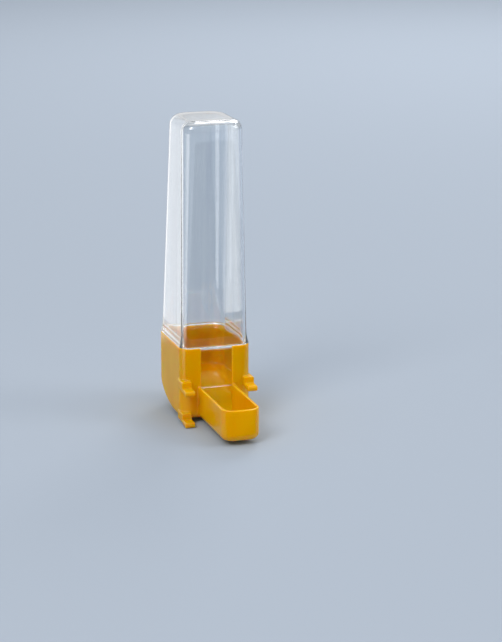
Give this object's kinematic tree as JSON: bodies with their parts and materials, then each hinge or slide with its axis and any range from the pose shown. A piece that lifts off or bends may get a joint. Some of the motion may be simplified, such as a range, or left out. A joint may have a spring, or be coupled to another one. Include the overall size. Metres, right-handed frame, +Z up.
{
  "type": "cage bird drinker",
  "caption": "Siphon bird drinker: clear tapered water reservoir standing in an amber plastic cup with a drinking trough and hooks that hang it on cage wires.",
  "frame": {"origin": "on the flat front of the cup, midway between the two cage wires that it hangs on and level with its underside", "axes": "+Z up, +X along the cage, -Y through the wires into the cage, the way the trough points"},
  "size_m": [0.0312, 0.0748, 0.1256],
  "materials": {
    "amber_plastic": "glossy, slightly translucent injection-moulded polystyrene",
    "clear_plastic": "clear, glossy injection-moulded polystyrene"
  },
  "bodies": {
    "base": {"base": "amber_plastic"},
    "reservoir": {"reservoir": "clear_plastic"}
  },
  "joints": [
    {"name": "reservoir_lift", "type": "slide", "parent": "base", "child": "reservoir", "axis": [0, 0, 1], "range_m": [0, 0.03]}
  ]
}
